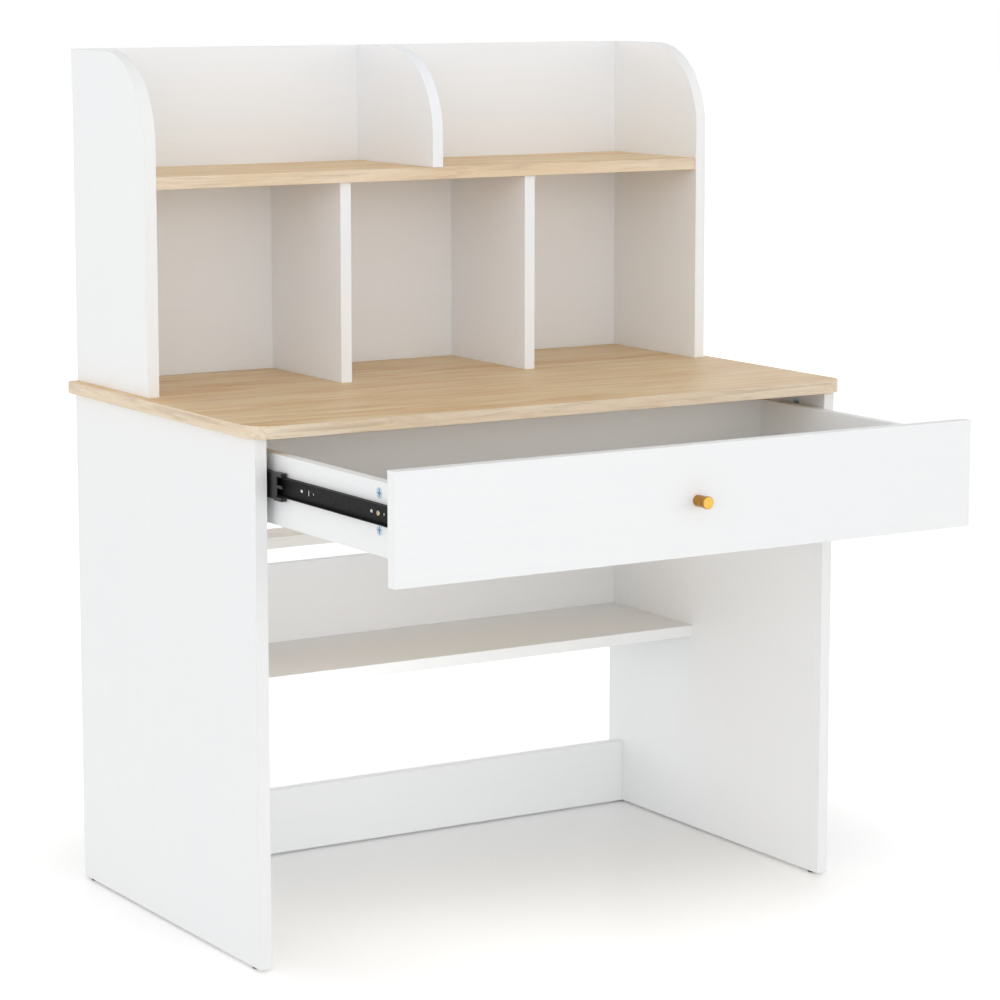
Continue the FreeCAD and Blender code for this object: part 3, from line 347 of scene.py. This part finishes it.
def metal(name, marks_per_metre, tones, roughness):
    """Bare or plated metal: cloudy patches in colour, fine marks in gloss and relief.

    tones are the dullest and the brightest colour, and roughness is its range.
    """
    finish = Finish(name, Metallic=1.0)
    patches_per_metre = marks_per_metre / MARKS_PER_PATCH
    patches = finish.noise((patches_per_metre,) * 3, detail=3, roughness=0.6, distortion=0.4)
    marks = finish.noise((marks_per_metre,) * 3, detail=4, roughness=0.7)
    finish.wear(finish.tint(finish.full(patches), *tones), finish.full(marks, *roughness))
    finish.relief(marks, 0.03 * MM, 0.4)
    return finish


cast_zinc = metal(
    "die-cast zinc",
    marks_per_metre=2400,
    tones=(rgb(160, 180, 192), rgb(190, 207, 217)),
    roughness=(0.28, 0.44),
)
dress(cast_zinc, "desk_cam_locks", "hutch_cam_locks", "drawer_cam_locks")

plated_steel = metal(
    "plated steel",
    marks_per_metre=1800,
    tones=(rgb(176, 172, 160), rgb(206, 203, 194)),
    roughness=(0.22, 0.38),
)
dress(plated_steel, "desk_cam_bolts", "hutch_cam_bolts", "drawer_cam_bolts")

beech = speckled(
    "fluted beech",
    speckle={"per_metre": (300, 300, 300), "detail": 3, "roughness": 0.6, "distortion": 1},
    tones=(rgb(186, 148, 108), rgb(222, 190, 150)),
    roughness=(0.55, 0.75),
    emboss=(0.1 * MM, 0.6),
)
dress(beech, "desk_dowels", "hutch_dowels")

# Hutch screws: plated steel wood screws with a cross recess, turned and then cut.
# Some rise through the desktop into the hutch, the rest go through its back panel.

X, Y, Z = range(3)
LOW, HIGH = range(2)
TURN_STEPS = 32
CRISP_ANGLE = math.radians(35)
CROSS_AT_TOP, CROSS_AT_FOOT = 1.2, 0.5
FIRST_TURN, NEXT_TURN = 23, 37


def lofted(rings):
    """A closed solid that joins rings of points, placed in the scene."""
    shape = bmesh.new()
    rings = [[shape.verts.new(point) for point in ring] for ring in rings]
    for near, far in zip(rings, rings[1:]):
        for i in range(len(near)):
            j = (i + 1) % len(near)
            shape.faces.new((near[i], far[i], far[j], near[j]))
    shape.faces.new(rings[0])
    shape.faces.new(rings[-1][::-1])
    bmesh.ops.recalc_face_normals(shape, faces=shape.faces)
    solid = bpy.data.objects.new("turning", bpy.data.meshes.new("turning"))
    shape.to_mesh(solid.data)
    shape.free()
    bpy.context.scene.collection.objects.link(solid)
    return solid


def turned_screw(outline, head_top, cross_reach, cross_width, cross_depth):
    """Mesh in millimetres of a screw driven along +X, with a cross in its head.

    outline holds (x, radius) from the top of the head to the tip. The cross starts
    at the head's top, and it tapers to half its size at its depth.
    """
    turns = [2 * math.pi * i / TURN_STEPS for i in range(TURN_STEPS)]
    blank = lofted(
        [(x, radius * math.cos(turn), radius * math.sin(turn)) for turn in turns]
        for x, radius in outline
    )
    half = cross_width / 2
    arm = [(half, half), (half, cross_reach), (-half, cross_reach)]
    cross = [
        (y * math.cos(turn) - z * math.sin(turn), y * math.sin(turn) + z * math.cos(turn))
        for turn in (math.pi / 2 * quarter for quarter in range(4))
        for y, z in arm
    ]
    above, foot = head_top - cross_depth / 2, head_top + cross_depth
    tool = lofted(
        [(x, y * size, z * size) for y, z in cross]
        for x, size in ((above, CROSS_AT_TOP), (foot, CROSS_AT_FOOT))
    )
    cut = blank.modifiers.new("cross", "BOOLEAN")
    cut.object = tool
    cut.operation = "DIFFERENCE"
    cut.solver = "EXACT"
    bpy.context.view_layer.update()
    finished = bpy.data.meshes.new_from_object(
        blank.evaluated_get(bpy.context.evaluated_depsgraph_get())
    )
    for solid in (blank, tool):
        bpy.data.objects.remove(solid)
    return finished


def drive(node, body, screw, finish, heads):
    """Puts a screw at each (place in mm, the way its head faces) for a node."""
    group = bmesh.new()
    for i, (place, facing) in enumerate(heads):
        one = bmesh.new()
        one.from_mesh(screw)
        way = Vector((-1, 0, 0)).rotation_difference(Vector(facing)).to_matrix().to_4x4()
        spun = Matrix.Rotation(math.radians(FIRST_TURN + NEXT_TURN * i), 4, "X")
        one.transform(Matrix.Scale(MM, 4) @ Matrix.Translation(place) @ way @ spun)
        for edge in one.edges:
            edge.smooth = edge.calc_face_angle(0) < CRISP_ANGLE
        for side in one.faces:
            side.smooth = True
        mesh = bpy.data.meshes.new("screw")
        one.to_mesh(mesh)
        one.free()
        group.from_mesh(mesh)
        bpy.data.meshes.remove(mesh)
    driven = bpy.data.objects.new(f"cross_head_{node}", bpy.data.meshes.new(node))
    group.to_mesh(driven.data)
    group.free()
    driven.data.materials.append(finish.material)
    bpy.context.scene.collection.objects.link(driven)
    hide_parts(node)
    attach(driven, body)


def end_of(node, axis, end):
    """Where a piece begins or ends along an axis, in millimetres."""
    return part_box(node)[end][axis] / MM


def middle_of(node, axis):
    """Where a piece's middle lies along an axis, in millimetres."""
    return (end_of(node, axis, LOW) + end_of(node, axis, HIGH)) / 2


def inset(node, axis, distance):
    """Two places along an axis, so far in from a piece's ends."""
    return end_of(node, axis, LOW) + distance, end_of(node, axis, HIGH) - distance


wood_screw = turned_screw(
    outline=[
        (0, 3.7), (0.25, 4.1), (0.6, 4.2), (1, 4.15), (3, 2),
        (36, 2), (38.5, 1.1), (40, 0.4),
    ],
    head_top=0,
    cross_reach=2.4,
    cross_width=0.9,
    cross_depth=2.2,
)
RISING_INSET, BACK_INSET = 50, 90
DOWN, BACK = (0, 0, -1), (0, 1, 0)
hutch_sides = ("hutch_left_side", "hutch_right_side")
lower_dividers = ("hutch_lower_left_divider", "hutch_lower_right_divider")
under_top = end_of("desktop", Z, LOW)
behind = end_of("hutch_back_panel", Y, HIGH)
heads = []
for board in hutch_sides + lower_dividers:
    for y in inset(board, Y, RISING_INSET):
        heads.append(((middle_of(board, X), y, under_top), DOWN))
for board in lower_dividers:
    for z in inset(board, Z, BACK_INSET):
        heads.append(((middle_of(board, X), behind, z), BACK))
lower_spot, _ = inset("hutch_top_divider", Z, BACK_INSET)
heads.append(((middle_of("hutch_top_divider", X), behind, lower_spot), BACK))
for end in (LOW, HIGH):
    halfway_out = end_of("hutch_shelf", X, end) / 2
    heads.append(((halfway_out, behind, middle_of("hutch_shelf", Z)), BACK))
drive("hutch_screws", "desk", wood_screw, plated_steel, heads)

# Drawer: white front, sides and back, with a hardboard bottom that slides in
# grooves. Cam locks hold the front to the sides, and wood screws hold the back.

for i, node in enumerate(("drawer_front", "drawer_back")):
    white_board(node, ACROSS_Y, LEVEL_GRAIN, shift=(i * 4.1, 3, 6))
for i, node in enumerate(("drawer_left_side", "drawer_right_side")):
    white_board(node, ACROSS_X, DEEP_GRAIN, shift=(i * 3.7, 8, 2))

hardboard = speckled(
    "white-faced hardboard",
    speckle={"per_metre": (60, 60, 60), "detail": 5, "roughness": 0.65},
    tones=(rgb(218, 217, 213), rgb(230, 229, 225)),
    roughness=(0.4, 0.52),
    emboss=(0.06 * MM, 0.5),
)
dress(hardboard, "drawer_bottom")

SCREW_ABOVE_BOTTOM, SCREW_BELOW_TOP = 25, 15
heads = [
    ((end_of(board, X, end), middle_of("drawer_back", Y), z), (way, 0, 0))
    for board, end, way in (("drawer_left_side", LOW, -1), ("drawer_right_side", HIGH, 1))
    for z in (
        end_of("drawer_back", Z, LOW) + SCREW_ABOVE_BOTTOM,
        end_of("drawer_back", Z, HIGH) - SCREW_BELOW_TOP,
    )
]
drive("drawer_back_screws", "drawer", wood_screw, plated_steel, heads)

# Knob: turned brass, its barrel and cap brushed round and round, held by a
# machine screw from inside the drawer front. The cap that faces the front is
# painted lighter than the barrel: a painted highlight on the cap and painted
# shade on the barrel, both of one brass.

brass = Finish("turned brass", Metallic=1.0)
cap = brass.spread(brass.facing(ACROSS_Y), 0.9, 0.98)
tarnish = brass.noise((220, 220, 220), detail=3, roughness=0.6, distortion=0.4)
tarnish = brass.full(tarnish)
brushing = brass.noise((250, 9000, 250), detail=3, roughness=0.6)
# Painted shade on the barrel and a painted highlight on the cap, by which way each faces.
painted_shade_brass = brass.tint(tarnish, rgb(164, 116, 50), rgb(192, 142, 66))
painted_highlight_brass = brass.tint(tarnish, rgb(226, 180, 84), rgb(238, 198, 104))
brass.wear(
    brass.tint(cap, painted_shade_brass, painted_highlight_brass),
    brass.full(brushing, to_low=0.22, to_high=0.38),
)
brass.relief(brushing, 0.02 * MM, 0.4)
dress(brass, "drawer_knob")

machine_screw = turned_screw(
    outline=[
        (-2.2, 1.6), (-2.05, 2.5), (-1.6, 3.3), (-1, 3.8), (-0.4, 4),
        (0, 4), (0, 2), (30, 2),
    ],
    head_top=-2.2,
    cross_reach=2.3,
    cross_width=0.9,
    cross_depth=1.6,
)
inside_front = (
    middle_of("drawer_knob", X),
    end_of("drawer_front", Y, HIGH),
    middle_of("drawer_knob", Z),
)
drive("knob_screw", "drawer", machine_screw, plated_steel, [(inside_front, BACK)])

# Slides: pressed steel members under a black coat, a moulded cage with two rows
# of polished balls between them, and pan-headed screws into the boards.

black_coat = speckled(
    "black coated steel",
    speckle={"per_metre": (120, 120, 120), "detail": 4, "roughness": 0.65},
    tones=(rgb(18, 18, 19), rgb(30, 30, 31)),
    roughness=(0.45, 0.6),
    IOR=1.5,
    Specular_IOR_Level=0.12,
)
orange_peel = black_coat.noise((1300, 1300, 1300), detail=2, roughness=0.5)
black_coat.relief(orange_peel, 0.04 * MM, 0.4)
cage_plastic = speckled(
    "black cage plastic",
    speckle={"per_metre": (500, 500, 500), "detail": 3, "roughness": 0.6},
    tones=(rgb(16, 16, 17), rgb(30, 30, 31)),
    roughness=(0.3, 0.46),
    IOR=1.5,
)
ball_steel = metal(
    "polished ball steel",
    marks_per_metre=3000,
    tones=(rgb(190, 193, 198), rgb(214, 216, 220)),
    roughness=(0.06, 0.22),
)
yellow_zinc = metal(
    "yellow plated screws",
    marks_per_metre=1800,
    tones=(rgb(190, 172, 142), rgb(222, 208, 182)),
    roughness=(0.24, 0.4),
)
pan_screw = turned_screw(
    outline=[
        (-1.8, 1.5), (-1.7, 2.4), (-1.4, 3.2), (-0.9, 3.7), (-0.4, 3.9),
        (0, 3.9), (0, 1.6), (12, 1.6),
    ],
    head_top=-1.8,
    cross_reach=2.3,
    cross_width=0.85,
    cross_depth=1.3,
)

SHEET = 1.2
CABINET_HOLES, DRAWER_HOLES = (39, 229, 416), (39, 416)
for side, way, outer, inner in (("left", -1, LOW, HIGH), ("right", 1, HIGH, LOW)):
    dress(black_coat, f"{side}_slide_cabinet_member", f"{side}_slide_drawer_member")
    dress(cage_plastic, f"{side}_slide_cage")
    dress(ball_steel, f"{side}_slide_balls")
    for member, body, against, facing, holes in (
        ("cabinet", "desk", outer, -way, CABINET_HOLES),
        ("drawer", "drawer", inner, way, DRAWER_HOLES),
    ):
        rail = f"{side}_slide_{member}_member"
        x = end_of(rail, X, against) + facing * SHEET
        heads = [
            ((x, end_of(rail, Y, LOW) + hole, middle_of(rail, Z)), (facing, 0, 0))
            for hole in holes
        ]
        drive(f"{side}_{member}_slide_screws", body, pan_screw, yellow_zinc, heads)

# Studio: a white floor that keeps the desk's shadow and shows a trace of gloss,
# with a painted shadow round the desk where its white glow is held back, a white
# sky that is brightest near the horizon, two large soft lamps at the front left
# and low in front, and a small one under the drawer.

FLOOR_SIZE = 60
# A box by the desk where the floor's white glow is held back: a painted shadow.
PAINTED_SHADOW_MIDDLE, PAINTED_SHADOW_HALF = (0.11, 0.3, 0), (0.28, 0.1, 1)
PAINTED_SHADOW_FADE = 0.75
PAINTED_SHADOW_LIFT, LIFT_OPEN = 0.0, 0.42
WHITE = (1, 1, 1, 1)


def seen(finish):
    """1 for what the camera and reflections see, 0 for light on its way."""
    rays = finish.node("LightPath").outputs
    return finish.combine("MAXIMUM", rays["Is Camera Ray"], rays["Is Glossy Ray"])


bpy.ops.mesh.primitive_plane_add(size=FLOOR_SIZE)
floor = bpy.context.object
floor.name = "studio_floor"
paper = Finish("studio floor", Roughness=0.3, Base_Color=rgb(249, 249, 248))


def step(operation, *inputs):
    """A step in working out how far each spot of the floor is from the box of painted
    shadow.
    """
    return paper.node("VectorMath", dict(enumerate(inputs)), operation=operation).outputs[0]


# The floor is lifted to plain white away from the desk, over so many metres; near the desk
# the lift is held back, a painted shadow round it.
beside = step("ABSOLUTE", step("SUBTRACT", paper.place, PAINTED_SHADOW_MIDDLE))
outside = step("MAXIMUM", step("SUBTRACT", beside, PAINTED_SHADOW_HALF), (0, 0, 0))
clear = paper.node("VectorMath", {0: outside}, operation="LENGTH").outputs["Value"]
glow_and_painted_shadow = paper.spread(clear, 0, PAINTED_SHADOW_FADE, PAINTED_SHADOW_LIFT, LIFT_OPEN)
glow_and_painted_shadow.node.interpolation_type = "SMOOTHSTEP"
paper.feed("Emission Strength", paper.combine("MULTIPLY", seen(paper), glow_and_painted_shadow))
paper.shader.inputs["Emission Color"].default_value = WHITE
floor.data.materials.append(paper.material)


class Sky(Finish):
    """The light all round, made on the world's nodes."""

    def __init__(self, name):
        self.material = bpy.data.worlds.new(name)
        self.material.use_nodes = True
        self.tree = self.material.node_tree
        self.shader = self.tree.nodes["Background"]


HORIZON, ZENITH, BACKDROP = 1.72, 0.64, 1.0
HORIZON_UP_TO, ZENITH_FROM = 0.18, 0.46
sky = Sky("white studio")
bpy.context.scene.world = sky.material
outwards = sky.node("TexCoord").outputs["Generated"]
height = sky.node("SeparateXYZ", {0: outwards}).outputs["Z"]
glow = sky.spread(height, HORIZON_UP_TO, ZENITH_FROM, HORIZON, ZENITH)
glow.node.interpolation_type = "SMOOTHSTEP"
sky.feed("Strength", sky.spread(seen(sky), 0, 1, glow, BACKDROP))
sky.shader.inputs["Color"].default_value = WHITE


def softbox(name, place, aim, size, watts):
    """A studio light of some width and height with its face turned to a point."""
    light = bpy.data.lights.new(name, "AREA")
    light.shape = "RECTANGLE"
    light.size, light.size_y = size
    light.energy = watts
    lamp = bpy.data.objects.new(name, light)
    bpy.context.scene.collection.objects.link(lamp)
    lamp.location = place
    toward = Vector(aim) - Vector(place)
    lamp.rotation_euler = toward.to_track_quat("-Z", "Y").to_euler()
    lamp.visible_camera = False


softbox("key_softbox", (-3.9, -3.0, 2.9), aim=(0, 0, 0.7), size=(3.0, 3.0), watts=15)
softbox("low_softbox", (-1.2, -6.0, 0.6), aim=(0.1, 0.2, 0.3), size=(2.0, 2.0), watts=21)
softbox(
    "knee_softbox",
    (-0.34, -0.04, 0.41),
    aim=(0.47, 0.2, 0.22),
    size=(0.36, 0.3),
    watts=0.7,
)

VIEWPOINT = (-2.5444, -4.0885, 1.38)
YAW, PITCH = math.radians(31.538), math.radians(-8.605)
LENS, SENSOR, LENS_SHIFT = 120.49, 36, -0.03
camera = bpy.data.objects.new("camera", bpy.data.cameras.new("camera"))
camera.location = VIEWPOINT
camera.rotation_euler = (math.pi / 2 + PITCH, 0, -YAW)
camera.data.lens = LENS
camera.data.sensor_width = SENSOR
camera.data.shift_y = LENS_SHIFT
bpy.context.scene.collection.objects.link(camera)
bpy.context.scene.camera = camera
bpy.context.scene.view_settings.view_transform = "Standard"
